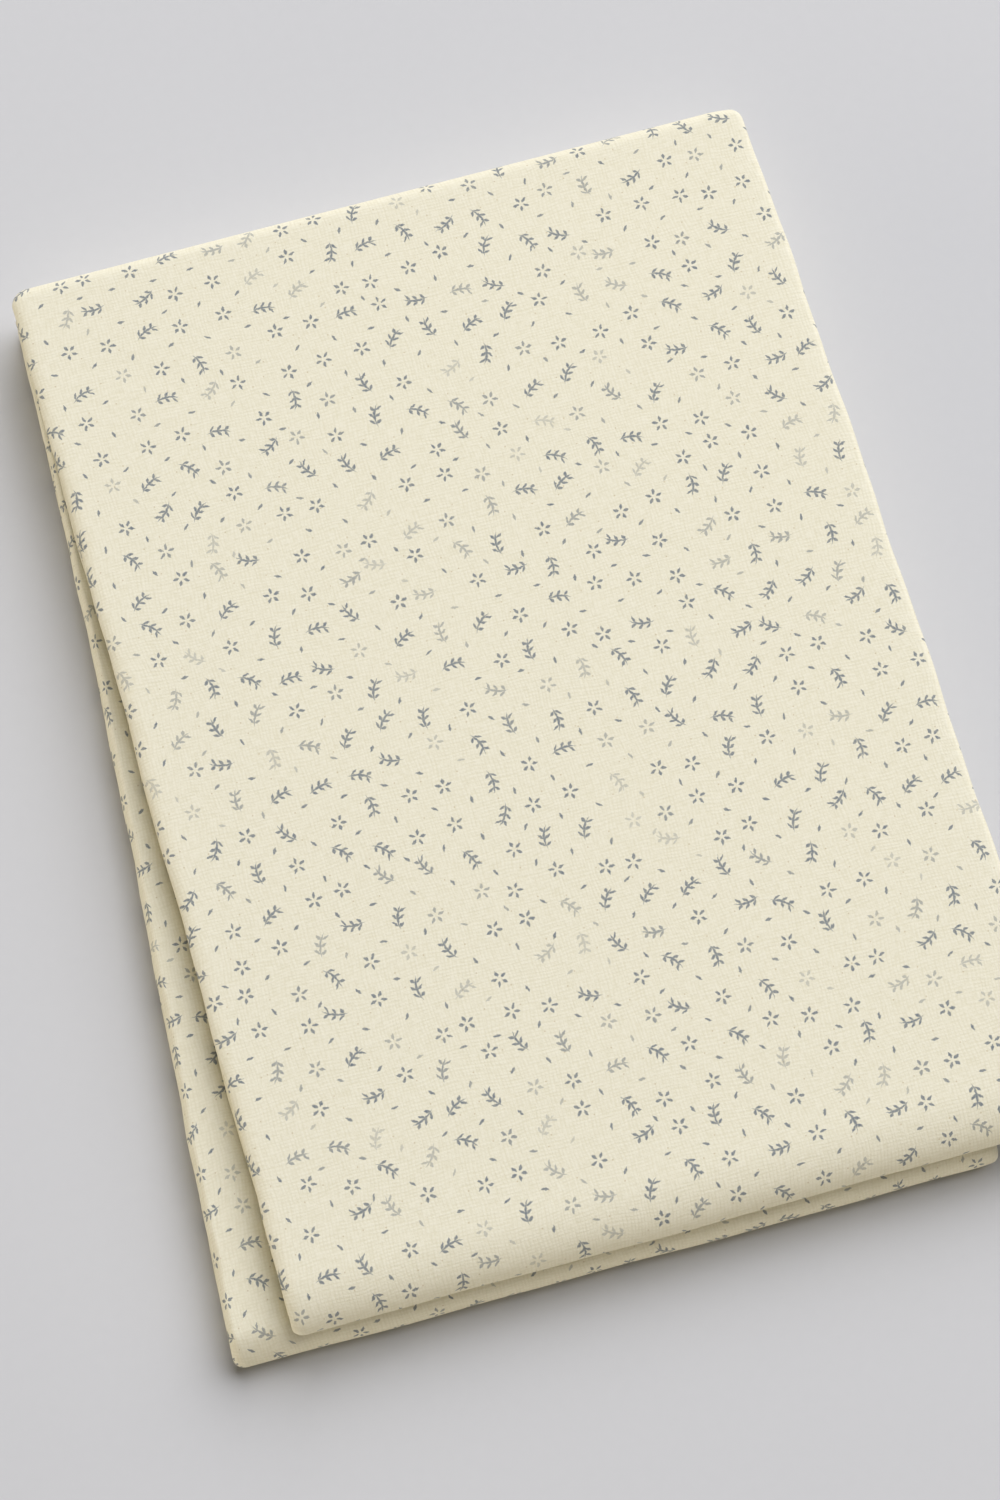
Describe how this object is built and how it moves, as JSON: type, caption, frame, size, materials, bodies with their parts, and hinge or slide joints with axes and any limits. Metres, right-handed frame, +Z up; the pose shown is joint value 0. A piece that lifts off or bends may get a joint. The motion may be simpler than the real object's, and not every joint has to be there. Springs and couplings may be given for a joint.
{
  "type": "folded quilting fabric",
  "caption": "Cut length of cream printed quilting cotton, folded into a flat pack with rounded folds, its lower half a little askew.",
  "frame": {"origin": "under the middle of the folded cloth's box, on the surface that it rests on", "axes": "+X across the width to the right, +Y along the length from the front folds to the spine fold, +Z up"},
  "size_m": [0.1696, 0.23, 0.0174],
  "materials": {
    "printed_cotton": "matt plain weave, cream with small slate printed marks"
  },
  "bodies": {
    "root": {"folded_cloth": "printed_cotton"}
  },
  "joints": []
}
